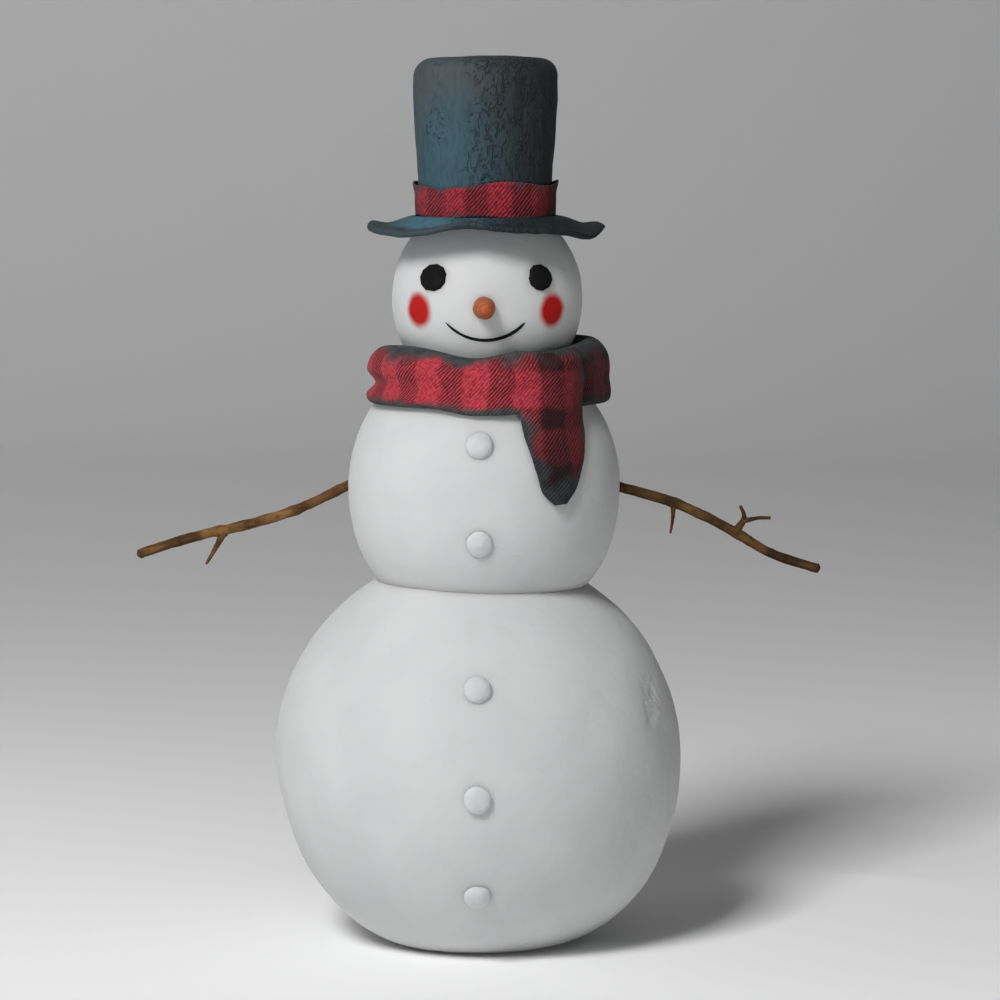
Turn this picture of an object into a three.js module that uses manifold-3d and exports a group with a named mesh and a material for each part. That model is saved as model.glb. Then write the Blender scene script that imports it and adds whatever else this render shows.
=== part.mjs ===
// A snowman: three stacked snowballs with stick arms, a scarf and a top hat.
// Millimetres, +Z up. The origin is the centre of the flat foot, and the face looks along -Y.

import * as THREE from 'three';
import { mergeVertices } from 'three/addons/utils/BufferGeometryUtils.js';
import Module from 'manifold-3d';

const wasm = await Module();
wasm.setup();

// Driving dimensions -------------------------------------------------------------------------

const GAP = 0.3;
const MERGE_DISTANCE = 1e-3;

// Each ball is an ellipsoid of revolution: axis position x, centre height z, radius and half height.
const BASE = { x: 0, z: 252, radius: 279, half: 280, sides: 38, rings: 20 };
const MIDDLE = { x: 8, z: 624, radius: 185, half: 193, sides: 32, rings: 18 };
const HEAD = { x: 12, z: 880, radius: 129.5, half: 138, sides: 32, rings: 18 };
const CREASE_Z = 490;
const NECK_Z = 787;

// Buttons and eyes are round lumps that stand proud of the snow and reach into a seat.
const BUTTON = { radius: 18.5, proud: 12, seat: 4, sides: 14, steps: 4 };
const MIDDLE_BUTTON_X = 3;
const MIDDLE_BUTTON_HEIGHTS = [695, 563];
const BASE_BUTTON_X = 0;
const BASE_BUTTON_HEIGHTS = [380, 239, 102];

const EYE_SPREAD = 71.5;
const EYE_Z = 913;
const EYE = { radius: 19.5, proud: 7, seat: 5, sides: 10, steps: 2 };

const NOSE_X = 8;
const NOSE_Z = 873.5;
const NOSE_RADIUS = 15;
const NOSE_HALFWAY_RADIUS = 12;
const NOSE_TIP_RADIUS = 6;
const NOSE_PROUD = 45;
const NOSE_DEPTH = 40;
const NOSE_SIDES = 14;

const MOUTH_X = 10;
const MOUTH_LOW_Z = 830;
const MOUTH_HALF_WIDTH = 52.5;
const MOUTH_RISE = 24;
const MOUTH_THICKNESS = 4.6;
const MOUTH_PROUD = 1.2;
const MOUTH_DEPTH = 2.5;
const MOUTH_THINNING = 0.9;
const MOUTH_STEPS = 14;

const STICK_RADIUS = 6.5;
const STICK_END_RADIUS = 6;
const TWIG_RADIUS = 4;
const TWIG_TIP_RADIUS = 1.6;
const STICK_SIDES = 8;
const TWIG_SIDES = 6;

// Stick centrelines, as (x, z) pairs. The first point of an arm is the blind end of its socket.
const ARM_LEFT = [[-112, 655], [-176, 628], [-243, 592], [-320, 569], [-404, 552], [-466, 529]];
const ARM_RIGHT = [
  [126, 640], [194, 622], [249, 607], [297, 590], [345, 564], [390, 535], [436, 517], [467, 511],
];
const TWIG_LEFT = [[-346, 563], [-358, 540], [-372, 516]];
const TWIG_RIGHT_LOWER = [[266, 600], [265, 578], [262, 559]];
const TWIG_RIGHT_UPPER = [[350, 562], [363, 577], [357, 598]];
const PRONG_RIGHT_UPPER = [[361, 575], [380, 580], [399, 580]];

const SCARF_X = 11;
const SCARF_LOW_Z = 734;
const SCARF_TOP_Z = 824;
const SCARF_RADIUS = 164;
const SCARF_INNER_RADIUS = 112;
const SCARF_TAIL_THICKNESS = 14;
const SCARF_CLEARANCE = 1.5;
const SCARF_SIDES = 32;
const SCARF_FOLD = 12;
const TAIL_TIP_STEPS = 6;
const TAIL_TOP_LEFT = 57;
const TAIL_TOP_RIGHT = 137;
const TAIL_TIP_Z = 614;
const TAIL_TIP_LEFT = 89;
const TAIL_TIP_RIGHT = 130;

const HAT_X = 10;
const HAT_SIDES = 32;
const HAT_WALL = 5;
const CROWN_FOOT_Z = 979;
const CROWN_FOOT_RADIUS = 96;
const CROWN_WAIST_Z = 1045;
const CROWN_WAIST_RADIUS = 91;
const CROWN_SHOULDER_Z = 1155;
const CROWN_SHOULDER_RADIUS = 97.5;
const CROWN_TOP_Z = 1207;
const CROWN_CORNER = 24;
const CROWN_DOME = 3;
const BAND_LOW_Z = 993;
const BAND_TOP_Z = 1034;
const BAND_THICKNESS = 3.2;
const BRIM_RADIUS = 161;
const BRIM_THICKNESS = 8;
const BRIM_ROOT_Z = 986;
const BRIM_RIM_Z = 975;
const BRIM_WAVE = 5;
const BRIM_WAVES = 5;
const BRIM_SIDES = 36;

// Materials ----------------------------------------------------------------------------------

const finish = (color, roughness) => new THREE.MeshStandardMaterial({ color, roughness, metalness: 0 });
const materials = {
  snow: () => finish(0xe6e9ec, 0.85),
  coal: () => finish(0x1b1b1b, 0.6),
  carrot: () => finish(0xc8642a, 0.6),
  bark: () => finish(0x5d4024, 0.9),
  plaid: () => finish(0x8c3440, 0.95),
  felt: () => finish(0x43585f, 0.8),
};

// Solids -------------------------------------------------------------------------------------

function signedVolume(geometry) {
  const p = geometry.attributes.position;
  const index = geometry.index.array;
  const a = new THREE.Vector3();
  const b = new THREE.Vector3();
  const c = new THREE.Vector3();
  let volume = 0;
  for (let i = 0; i < index.length; i += 3) {
    a.fromBufferAttribute(p, index[i]);
    b.fromBufferAttribute(p, index[i + 1]);
    c.fromBufferAttribute(p, index[i + 2]);
    volume += a.dot(b.cross(c)) / 6;
  }
  return volume;
}

// Merges the shared vertices, drops the slivers left at poles and seams, and turns the faces outward.
function closed(geometry) {
  geometry.deleteAttribute('normal');
  geometry.deleteAttribute('uv');
  const merged = mergeVertices(geometry, MERGE_DISTANCE);
  const index = merged.index.array;
  const kept = [];
  for (let i = 0; i < index.length; i += 3) {
    const [a, b, c] = [index[i], index[i + 1], index[i + 2]];
    if (a !== b && b !== c && c !== a) kept.push(a, b, c);
  }
  merged.setIndex(kept);
  if (signedVolume(merged) < 0) merged.setIndex(kept.reverse());
  return merged;
}

function solid(geometry) {
  const whole = closed(geometry);
  return new wasm.Manifold(new wasm.Mesh({
    numProp: 3,
    vertProperties: new Float32Array(whole.attributes.position.array),
    triVerts: new Uint32Array(whole.index.array),
  }));
}

function geometryOf(manifold) {
  const mesh = manifold.getMesh();
  const geometry = new THREE.BufferGeometry();
  geometry.setAttribute('position', new THREE.BufferAttribute(new Float32Array(mesh.vertProperties), 3));
  geometry.setIndex([...mesh.triVerts]);
  return geometry;
}

// Shapes -------------------------------------------------------------------------------------

function ballSolid(ball, grow = 0) {
  const geometry = new THREE.SphereGeometry(1, ball.sides, ball.rings);
  geometry.rotateX(Math.PI / 2);
  geometry.scale(ball.radius + grow, ball.radius + grow, ball.half + grow);
  geometry.translate(ball.x, 0, ball.z);
  return solid(geometry);
}

function slab(low, high) {
  const width = 3 * BASE.radius;
  const geometry = new THREE.BoxGeometry(width, width, high - low);
  geometry.translate(0, 0, (low + high) / 2);
  return solid(geometry);
}

// The point on the front of a ball at x and z, and the direction that faces out of it.
function frontOf(ball, x, z) {
  const across = (x - ball.x) / ball.radius;
  const up = (z - ball.z) / ball.half;
  const y = -ball.radius * Math.sqrt(1 - across * across - up * up);
  const outward = new THREE.Vector3(across / ball.radius, y / ball.radius ** 2, up / ball.half);
  return { point: new THREE.Vector3(x, y, z), outward: outward.normalize() };
}

function turned(profile, sides) {
  const points = profile.map(([r, z]) => new THREE.Vector2(r, z));
  const geometry = new THREE.LatheGeometry(points, sides);
  geometry.rotateX(Math.PI / 2);
  return geometry;
}

function poseAt({ point, outward }) {
  const turn = new THREE.Quaternion().setFromUnitVectors(new THREE.Vector3(0, 0, 1), outward);
  return new THREE.Matrix4().compose(point, turn, new THREE.Vector3(1, 1, 1));
}

// A round lump that stands on the surface and reaches into a seat below it.
function lumpProfile(radius, proud, seat, steps) {
  const profile = [[0, -seat], [radius, -seat]];
  for (let i = 0; i < steps; i += 1) {
    const angle = (i / steps) * (Math.PI / 2);
    profile.push([radius * Math.cos(angle), proud * Math.sin(angle)]);
  }
  profile.push([0, proud]);
  return profile;
}

function seatProfile(radius, seat) {
  return [[0, -seat - GAP], [radius + GAP, -seat - GAP], [radius + GAP, radius], [0, radius]];
}

// A tapering stick along a curve in the XZ plane. grow fattens it and extend lengthens its first end.
function stickSolid(path, startRadius, endRadius, sides, grow = 0, extend = 0) {
  const points = path.map(([x, z]) => new THREE.Vector3(x, 0, z));
  const back = points[0].clone().sub(points[1]).normalize().multiplyScalar(extend);
  points[0].add(back);
  const curve = new THREE.CatmullRomCurve3(points);
  const steps = 3 * (points.length - 1);
  const profile = [[0, 0]];
  for (let i = 0; i <= steps; i += 1) {
    const radius = THREE.MathUtils.lerp(startRadius, endRadius, i / steps);
    profile.push([radius + grow, i / steps]);
  }
  profile.push([0, 1]);
  const geometry = turned(profile, sides);
  const position = geometry.attributes.position;
  const side = new THREE.Vector3(0, 1, 0);
  for (let i = 0; i < position.count; i += 1) {
    const along = Math.min(1, Math.max(0, position.getZ(i)));
    const tangent = curve.getTangentAt(along);
    const up = side.clone().cross(tangent);
    const place = curve.getPointAt(along);
    place.addScaledVector(side, position.getX(i)).addScaledVector(up, position.getY(i));
    position.setXYZ(i, place.x, place.y, place.z);
  }
  return solid(geometry);
}

// The outside radius of the hat's crown below its rounded top corner.
function crownRadius(z) {
  if (z <= CROWN_WAIST_Z) {
    const t = (z - CROWN_FOOT_Z) / (CROWN_WAIST_Z - CROWN_FOOT_Z);
    return THREE.MathUtils.lerp(CROWN_FOOT_RADIUS, CROWN_WAIST_RADIUS, t);
  }
  const t = Math.min(1, (z - CROWN_WAIST_Z) / (CROWN_SHOULDER_Z - CROWN_WAIST_Z));
  return THREE.MathUtils.lerp(CROWN_WAIST_RADIUS, CROWN_SHOULDER_RADIUS, t);
}

// The crown's outline from foot to top, moved in by the given amount.
function crownOutline(inset) {
  const corner = CROWN_CORNER - inset;
  const top = CROWN_TOP_Z - CROWN_DOME - inset;
  const outline = [CROWN_FOOT_Z, CROWN_WAIST_Z, CROWN_SHOULDER_Z].map((z) => [crownRadius(z) - inset, z]);
  const cornerSteps = 3;
  for (let i = 0; i <= cornerSteps; i += 1) {
    const angle = (i / cornerSteps) * (Math.PI / 2);
    const radius = CROWN_SHOULDER_RADIUS - inset - corner * (1 - Math.cos(angle));
    outline.push([radius, top - corner * (1 - Math.sin(angle))]);
  }
  outline.push([0, top + CROWN_DOME]);
  return outline;
}

// Pieces -------------------------------------------------------------------------------------

const snowman = new THREE.Group();

// Adds a piece, with its geometry about its own reference point.
function add(name, manifold, material, [x, y, z]) {
  const geometry = geometryOf(manifold);
  geometry.translate(-x, -y, -z);
  const mesh = new THREE.Mesh(geometry, material);
  mesh.name = name;
  mesh.position.set(x, y, z);
  snowman.add(mesh);
}

function addLump(name, place, { radius, proud, seat, sides, steps }, material) {
  const geometry = closed(turned(lumpProfile(radius, proud, seat, steps), sides));
  const mesh = new THREE.Mesh(geometry, material);
  mesh.name = name;
  poseAt(place).decompose(mesh.position, mesh.quaternion, mesh.scale);
  snowman.add(mesh);
  return solid(turned(seatProfile(radius, seat), sides).applyMatrix4(poseAt(place)));
}

function addButtons() {
  const seats = { middle: [], base: [] };
  let number = 1;
  const row = (ball, x, heights, list) => {
    for (const z of heights) {
      const name = `button_${number}`;
      list.push(addLump(name, frontOf(ball, x, z), BUTTON, materials.snow()));
      number += 1;
    }
  };
  row(MIDDLE, MIDDLE_BUTTON_X, MIDDLE_BUTTON_HEIGHTS, seats.middle);
  row(BASE, BASE_BUTTON_X, BASE_BUTTON_HEIGHTS, seats.base);
  return seats;
}

function addEyes() {
  return [['coal_eye_left', -1], ['coal_eye_right', 1]].map(([name, side]) => {
    const place = frontOf(HEAD, HEAD.x + side * EYE_SPREAD, EYE_Z);
    return addLump(name, place, EYE, materials.coal());
  });
}

function addNose() {
  const { point } = frontOf(HEAD, NOSE_X, NOSE_Z);
  const place = { point, outward: new THREE.Vector3(0, -1, 0) };
  const neck = NOSE_PROUD - NOSE_TIP_RADIUS;
  const profile = [
    [0, -NOSE_DEPTH],
    [NOSE_RADIUS, -NOSE_DEPTH],
    [NOSE_RADIUS, 0],
    [NOSE_HALFWAY_RADIUS, neck / 2],
    [NOSE_TIP_RADIUS, neck],
  ];
  for (const angle of [Math.PI / 4, Math.PI / 2]) {
    profile.push([NOSE_TIP_RADIUS * Math.cos(angle), neck + NOSE_TIP_RADIUS * Math.sin(angle)]);
  }
  const carrot = solid(turned(profile, NOSE_SIDES).applyMatrix4(poseAt(place)));
  add('carrot_nose', carrot, materials.carrot(), point.toArray());
  return solid(turned(seatProfile(NOSE_RADIUS, NOSE_DEPTH), NOSE_SIDES).applyMatrix4(poseAt(place)));
}

// The smile's outline seen from the front: an arc that thins to both ends, pushed back into the head.
function mouthPrism(grow) {
  const arcRadius = (MOUTH_HALF_WIDTH ** 2 + MOUTH_RISE ** 2) / (2 * MOUTH_RISE);
  const centreZ = MOUTH_LOW_Z + arcRadius;
  const sweep = Math.asin(MOUTH_HALF_WIDTH / arcRadius);
  const edge = (side) => Array.from({ length: MOUTH_STEPS + 1 }, (_, i) => {
    const t = (2 * i) / MOUTH_STEPS - 1;
    const half = (MOUTH_THICKNESS / 2) * Math.sqrt(1 - MOUTH_THINNING * t * t) + grow;
    const angle = t * (sweep + grow / arcRadius);
    const r = arcRadius + side * half;
    return new THREE.Vector2(MOUTH_X + r * Math.sin(angle), centreZ - r * Math.cos(angle));
  });
  const shape = new THREE.Shape([...edge(1), ...edge(-1).reverse()]);
  const geometry = new THREE.ExtrudeGeometry(shape, { depth: 2 * HEAD.radius, bevelEnabled: false });
  geometry.rotateX(Math.PI / 2);
  return solid(geometry);
}

function addMouth() {
  const strip = mouthPrism(0).intersect(ballSolid(HEAD, MOUTH_PROUD)).subtract(ballSolid(HEAD, -MOUTH_DEPTH));
  add('mouth', strip, materials.coal(), [MOUTH_X, -HEAD.radius, MOUTH_LOW_Z]);
  return mouthPrism(GAP).subtract(ballSolid(HEAD, -MOUTH_DEPTH - GAP));
}

function addArms() {
  const arms = [['left', ARM_LEFT], ['right', ARM_RIGHT]];
  const thick = [STICK_RADIUS, STICK_END_RADIUS, STICK_SIDES];
  const thin = [TWIG_RADIUS, TWIG_TIP_RADIUS, TWIG_SIDES];
  for (const [side, path] of arms) {
    add(`arm_${side}_main`, stickSolid(path, ...thick), materials.bark(), [path[0][0], 0, path[0][1]]);
  }
  const leftRoom = stickSolid(ARM_LEFT, ...thick, GAP);
  const rightRoom = stickSolid(ARM_RIGHT, ...thick, GAP);
  const upperRoom = stickSolid(TWIG_RIGHT_UPPER, ...thin, GAP);
  const twigs = [
    ['arm_left_twig', TWIG_LEFT, [leftRoom]],
    ['arm_right_lower_twig', TWIG_RIGHT_LOWER, [rightRoom]],
    ['arm_right_upper_twig', TWIG_RIGHT_UPPER, [rightRoom]],
    ['arm_right_upper_prong', PRONG_RIGHT_UPPER, [rightRoom, upperRoom]],
  ];
  for (const [name, path, rooms] of twigs) {
    const twig = rooms.reduce((left, room) => left.subtract(room), stickSolid(path, ...thin));
    add(name, twig, materials.bark(), [path[0][0], 0, path[0][1]]);
  }
  return arms.map(([, path]) => stickSolid(path, ...thick, GAP, 1));
}

function addScarf() {
  const middleRoom = ballSolid(MIDDLE, SCARF_CLEARANCE);
  const headRoom = ballSolid(HEAD, SCARF_CLEARANCE);
  const section = [
    [SCARF_RADIUS - SCARF_FOLD, SCARF_LOW_Z],
    [SCARF_RADIUS, SCARF_LOW_Z + SCARF_FOLD],
    [SCARF_RADIUS, SCARF_TOP_Z - 2 * SCARF_FOLD],
    [SCARF_RADIUS - SCARF_FOLD, SCARF_TOP_Z],
    [SCARF_INNER_RADIUS + SCARF_FOLD, SCARF_TOP_Z],
    [SCARF_INNER_RADIUS, SCARF_TOP_Z - SCARF_FOLD],
    [SCARF_INNER_RADIUS, SCARF_LOW_Z + 2 * SCARF_FOLD],
    [SCARF_RADIUS - SCARF_FOLD, SCARF_LOW_Z],
  ];
  const ring = solid(turned(section, SCARF_SIDES).translate(SCARF_X, 0, 0));
  const wrap = ring.subtract(middleRoom).subtract(headRoom);
  add('scarf_wrap', wrap, materials.plaid(), [SCARF_X, 0, SCARF_LOW_Z]);

  const top = SCARF_LOW_Z - GAP;
  const outline = new THREE.Shape();
  outline.moveTo(TAIL_TOP_LEFT, top);
  outline.lineTo(TAIL_TIP_LEFT, TAIL_TIP_Z + SCARF_FOLD);
  const tipX = (TAIL_TIP_LEFT + TAIL_TIP_RIGHT) / 2;
  outline.quadraticCurveTo(tipX, TAIL_TIP_Z - SCARF_FOLD, TAIL_TIP_RIGHT, TAIL_TIP_Z + SCARF_FOLD);
  outline.lineTo(TAIL_TOP_RIGHT, top);
  const through = { depth: 2 * MIDDLE.radius, bevelEnabled: false, curveSegments: TAIL_TIP_STEPS };
  const prism = new THREE.ExtrudeGeometry(outline, through);
  prism.rotateX(Math.PI / 2);
  const outside = ballSolid(MIDDLE, SCARF_CLEARANCE + SCARF_TAIL_THICKNESS);
  const tail = solid(prism).intersect(outside).subtract(middleRoom);
  add('scarf_tail', tail, materials.plaid(), [(TAIL_TOP_LEFT + TAIL_TOP_RIGHT) / 2, -MIDDLE.radius, top]);
}

function addHat() {
  const headRoom = ballSolid(HEAD, GAP);
  const inside = crownOutline(HAT_WALL).reverse();
  const crownSection = [...crownOutline(0), ...inside];
  const crown = solid(turned([...crownSection, crownSection[0]], HAT_SIDES).translate(HAT_X, 0, 0));
  add('hat_crown', crown.subtract(headRoom), materials.felt(), [HAT_X, 0, CROWN_FOOT_Z]);

  const reach = BRIM_RADIUS - CROWN_FOOT_RADIUS;
  const half = BRIM_THICKNESS / 2;
  const root = CROWN_FOOT_RADIUS + GAP;
  const brimZ = (t) => THREE.MathUtils.lerp(BRIM_ROOT_Z, BRIM_RIM_Z, t);
  const brimLine = [0, 0.5, 1].map((t) => [root + t * (reach - half), brimZ(t)]);
  const above = brimLine.map(([r, z]) => [r, z + half]);
  const below = brimLine.map(([r, z]) => [r, z - half]).reverse();
  const brimSection = [...above, [BRIM_RADIUS, BRIM_RIM_Z], ...below, above[0]];
  const brimGeometry = turned(brimSection, BRIM_SIDES);
  const position = brimGeometry.attributes.position;
  for (let i = 0; i < position.count; i += 1) {
    const [x, y, z] = [position.getX(i), position.getY(i), position.getZ(i)];
    const out = (Math.hypot(x, y) - root) / reach;
    position.setZ(i, z + BRIM_WAVE * Math.max(0, out) * Math.cos(BRIM_WAVES * Math.atan2(y, x)));
  }
  const underBrim = BRIM_RIM_Z - BRIM_WAVE - BRIM_THICKNESS;
  const crownRoomProfile = [[0, underBrim], [root, underBrim], [root, CROWN_TOP_Z], [0, CROWN_TOP_Z]];
  const crownRoom = solid(turned(crownRoomProfile, HAT_SIDES).translate(HAT_X, 0, 0));
  const brim = solid(brimGeometry.translate(HAT_X, 0, 0)).subtract(crownRoom).subtract(headRoom);
  add('hat_brim', brim, materials.felt(), [HAT_X, 0, BRIM_ROOT_Z]);

  const bandHeights = [BAND_LOW_Z, BAND_TOP_Z];
  const inner = bandHeights.map((z) => [crownRadius(z) + GAP, z]);
  const outer = bandHeights.map((z) => [crownRadius(z) + GAP + BAND_THICKNESS, z]).reverse();
  const band = solid(turned([...inner, ...outer, inner[0]], HAT_SIDES).translate(HAT_X, 0, 0));
  add('hat_band', band, materials.plaid(), [HAT_X, 0, BAND_LOW_Z]);
}

const buttonSeats = addButtons();
const faceSeats = [...addEyes(), addNose(), addMouth()];
const armSockets = addArms();

const without = (body, cutters) => cutters.reduce((left, cutter) => left.subtract(cutter), body);
const base = ballSolid(BASE).intersect(slab(0, CREASE_Z));
const middle = ballSolid(MIDDLE).intersect(slab(CREASE_Z + GAP, NECK_Z));
const head = ballSolid(HEAD).intersect(slab(NECK_Z + GAP, HEAD.z + 2 * HEAD.half));
add('snow_base', without(base, buttonSeats.base), materials.snow(), [BASE.x, 0, BASE.z]);
const middleCuts = [...buttonSeats.middle, ...armSockets];
add('snow_middle', without(middle, middleCuts), materials.snow(), [MIDDLE.x, 0, MIDDLE.z]);
add('snow_head', without(head, faceSeats), materials.snow(), [HEAD.x, 0, HEAD.z]);
addScarf();
addHat();

export default snowman;
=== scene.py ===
import math

import bmesh
import bpy
import numpy as np
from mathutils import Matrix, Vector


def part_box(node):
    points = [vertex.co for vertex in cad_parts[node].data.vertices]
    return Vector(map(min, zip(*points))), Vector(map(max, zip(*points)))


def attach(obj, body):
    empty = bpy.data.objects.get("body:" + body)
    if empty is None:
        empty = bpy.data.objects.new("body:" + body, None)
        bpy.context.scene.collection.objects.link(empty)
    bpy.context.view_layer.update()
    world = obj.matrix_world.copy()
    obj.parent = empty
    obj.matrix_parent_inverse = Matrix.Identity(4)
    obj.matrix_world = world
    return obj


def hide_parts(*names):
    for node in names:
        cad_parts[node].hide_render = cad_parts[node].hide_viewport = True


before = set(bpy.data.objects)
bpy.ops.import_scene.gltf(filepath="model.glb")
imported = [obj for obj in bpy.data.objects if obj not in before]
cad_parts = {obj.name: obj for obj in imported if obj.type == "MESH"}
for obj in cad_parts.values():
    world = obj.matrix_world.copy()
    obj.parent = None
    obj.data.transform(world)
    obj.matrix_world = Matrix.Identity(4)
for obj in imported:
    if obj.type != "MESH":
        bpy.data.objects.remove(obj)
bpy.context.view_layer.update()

# The looks of a snowman: three packed snowballs, coal, carrot, sticks, a plaid scarf and a felt hat.
# Metres, +Z up, the face looks along -Y. Angles round the neck and hat start at the front and grow
# towards +X.

MM = 0.001
BODY = "root"


# Small maths ----------


def smooth(low, high, x):
    t = np.clip((x - low) / (high - low), 0, 1)
    return t * t * (3 - 2 * t)


def wrapped(angle):
    """The same angle, from -pi to pi."""
    return (angle + math.pi) % (2 * math.pi) - math.pi


def bell(x, centre, width):
    return np.exp(-(((x - centre) / width) ** 2))


def noise(points, size, seed, octaves=1):
    """Gradient noise from about -1 to 1, at features of the given size."""
    rng = np.random.default_rng(seed)
    turns = rng.permutation(256)
    slopes = rng.normal(size=(256, 3))
    slopes /= np.linalg.norm(slopes, axis=1)[:, None]
    total, weight = np.zeros(len(points)), 1.0
    for octave in range(octaves):
        p = points * (2**octave / size) + 17.3 * (octave + 1)
        cell = np.floor(p).astype(int)
        f = p - cell
        u = f * f * f * (f * (f * 6 - 15) + 10)
        for corner in np.ndindex(2, 2, 2):
            c = cell + corner
            index = turns[(turns[(turns[c[:, 0] & 255] + c[:, 1]) & 255] + c[:, 2]) & 255]
            share = np.prod(np.where(corner, u, 1 - u), axis=1)
            total += weight * share * (slopes[index] * (f - corner)).sum(1)
        weight *= 0.5
    return 1.6 * total


def curve_through(points, t):
    """A Catmull-Rom curve through points, whose first axis is along the curve, at t from 0 to 1."""
    points = np.asarray(points, float)
    ends = [2 * points[:1] - points[1:2], points, 2 * points[-1:] - points[-2:-1]]
    p = np.concatenate(ends)
    at = np.clip(t, 0, 1) * (len(points) - 1)
    i = np.minimum(at.astype(int), len(points) - 2)
    f = (at - i).reshape(-1, *[1] * (points.ndim - 1))
    a, b, c, d = p[i], p[i + 1], p[i + 2], p[i + 3]
    slope, bend, twist = c - a, 2 * a - 5 * b + 4 * c - d, 3 * b - a - 3 * c + d
    return 0.5 * (2 * b + slope * f + bend * f**2 + twist * f**3)


# The frame's shapes ----------

# Shares of a ball's radius: where its widest corners lie, and between which its height is read.
WIDEST = 0.995
SLOPING_FROM, SLOPING_TO = 0.6, 0.93
# How much of each end of a stick is averaged to find the middle of that end.
STICK_END = 6 * MM
CORNER_ROUNDING = 1e-6


def corners_of(node):
    """The different corners of a CAD node, in metres."""
    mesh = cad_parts[node].data
    points = np.zeros(len(mesh.vertices) * 3, np.float32)
    mesh.vertices.foreach_get("co", points)
    return np.unique(np.round(points.reshape(-1, 3).astype(float), 6), axis=0)


class Ball:
    """A snowball's ellipsoid, read from its CAD node."""

    def __init__(self, node):
        points = corners_of(node)
        low, high = points.min(0), points.max(0)
        self.radius = (high[1] - low[1]) / 2
        around = np.hypot(points[:, 0] - (low[0] + high[0]) / 2, points[:, 1])
        widest = around > WIDEST * self.radius
        self.centre = np.array([(low[0] + high[0]) / 2, 0, np.median(points[widest, 2])])
        up = np.abs(points[:, 2] - self.centre[2])
        share = around / self.radius
        sloping = (share > SLOPING_FROM) & (share < SLOPING_TO)
        self.half = float(np.median(up[sloping] / np.sqrt(1 - share[sloping] ** 2)))

    def radius_at(self, z):
        up = (np.asarray(z) - self.centre[2]) / self.half
        return self.radius * np.sqrt(np.maximum(0, 1 - up * up))

    def front(self, x, z):
        across = self.radius_at(z)
        y = -np.sqrt(np.maximum(0, across**2 - (x - self.centre[0]) ** 2))
        return np.array([x, y, z], float)

    def outward(self, point):
        slope = (point - self.centre) / np.array([self.radius, self.radius, self.half]) ** 2
        return slope / np.linalg.norm(slope)


def centreline(node, count):
    """Points down the middle of a stick's CAD node, from the end nearer the snowman."""
    points = corners_of(node)
    middle = points.mean(0)
    axis = np.linalg.svd(points - middle)[2][0]
    along = (points - middle) @ axis
    edges = np.linspace(along.min(), along.max(), count + 1)
    line = []
    for low, high in zip(edges[:-1], edges[1:]):
        inside = (along >= low - CORNER_ROUNDING) & (along <= high + CORNER_ROUNDING)
        if inside.sum() > 3:
            line.append(points[inside].mean(0))
    first = points[along <= along.min() + STICK_END].mean(0)
    last = points[along >= along.max() - STICK_END].mean(0)
    line = np.array([first, *line, last])
    return line if abs(line[0, 0]) < abs(line[-1, 0]) else line[::-1]


# Meshes ----------


def mesh_object(name, points, faces, material):
    mesh = bpy.data.meshes.new(name)
    mesh.from_pydata(np.asarray(points).tolist(), [], faces)
    mesh.validate()
    mesh.polygons.foreach_set("use_smooth", [True] * len(mesh.polygons))
    mesh.materials.append(material)
    obj = bpy.data.objects.new(name, mesh)
    bpy.context.scene.collection.objects.link(obj)
    return obj


def piece(name, points, faces, material, replaces):
    """A visual piece that stands for the CAD nodes it replaces."""
    obj = mesh_object(name, points, faces, material)
    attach(obj, BODY)
    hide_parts(*replaces)
    return obj


def unit_ball(fineness):
    made = bmesh.new()
    bmesh.ops.create_icosphere(made, subdivisions=fineness, radius=1)
    points = np.array([v.co for v in made.verts])
    faces = [[v.index for v in f.verts] for f in made.faces]
    made.free()
    return points / np.linalg.norm(points, axis=1)[:, None], faces


def grid_faces(rows, columns, closed_columns=False, closed_rows=False):
    i = np.arange(rows if closed_rows else rows - 1)[:, None]
    j = np.arange(columns if closed_columns else columns - 1)[None]
    a, b = i * columns + j, i * columns + (j + 1) % columns
    c, d = (i + 1) % rows * columns + (j + 1) % columns, (i + 1) % rows * columns + j
    return np.stack([a, b, c, d], -1).reshape(-1, 4).tolist()


def tube_faces(rows, sides, turned_over=False):
    """Faces of a tube of points, with both of its ends closed."""
    first, last = list(range(sides)), list(range((rows - 1) * sides, rows * sides))
    ends = [first, last[::-1]] if turned_over else [first[::-1], last]
    return grid_faces(rows, sides, closed_columns=True) + ends


def swept(line, radii, sides, first_way=(0, 1.0, 0), squash=1.0):
    """Points of a tube along a line, a row for each of its points, squashed along the first way."""
    tangent = np.gradient(line, axis=0)
    tangent /= np.linalg.norm(tangent, axis=1)[:, None]
    first = np.broadcast_to(np.asarray(first_way), line.shape)
    first = first - (first * tangent).sum(1)[:, None] * tangent
    first /= np.linalg.norm(first, axis=1)[:, None]
    second = np.cross(tangent, first)
    angles = round_angles(sides)
    ring = np.cos(angles)[None, :, None] * first[:, None] * squash
    ring = ring + np.sin(angles)[None, :, None] * second[:, None]
    return line[:, None] + ring * radii[:, None, None]


def round_angles(sides):
    return np.linspace(0, 2 * math.pi, sides, endpoint=False)


def lathe(section, angles):
    """Points of a section of (radius, z) turned about Z, one row for each section point."""
    r, z = section[:, 0][:, None], section[:, 1][:, None]
    x, y = r * np.sin(angles), -r * np.cos(angles)
    return np.stack([x, y, np.broadcast_to(z, x.shape)], -1)


# Materials ----------


def toned(color, share):
    return tuple(share * c for c in color)


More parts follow.
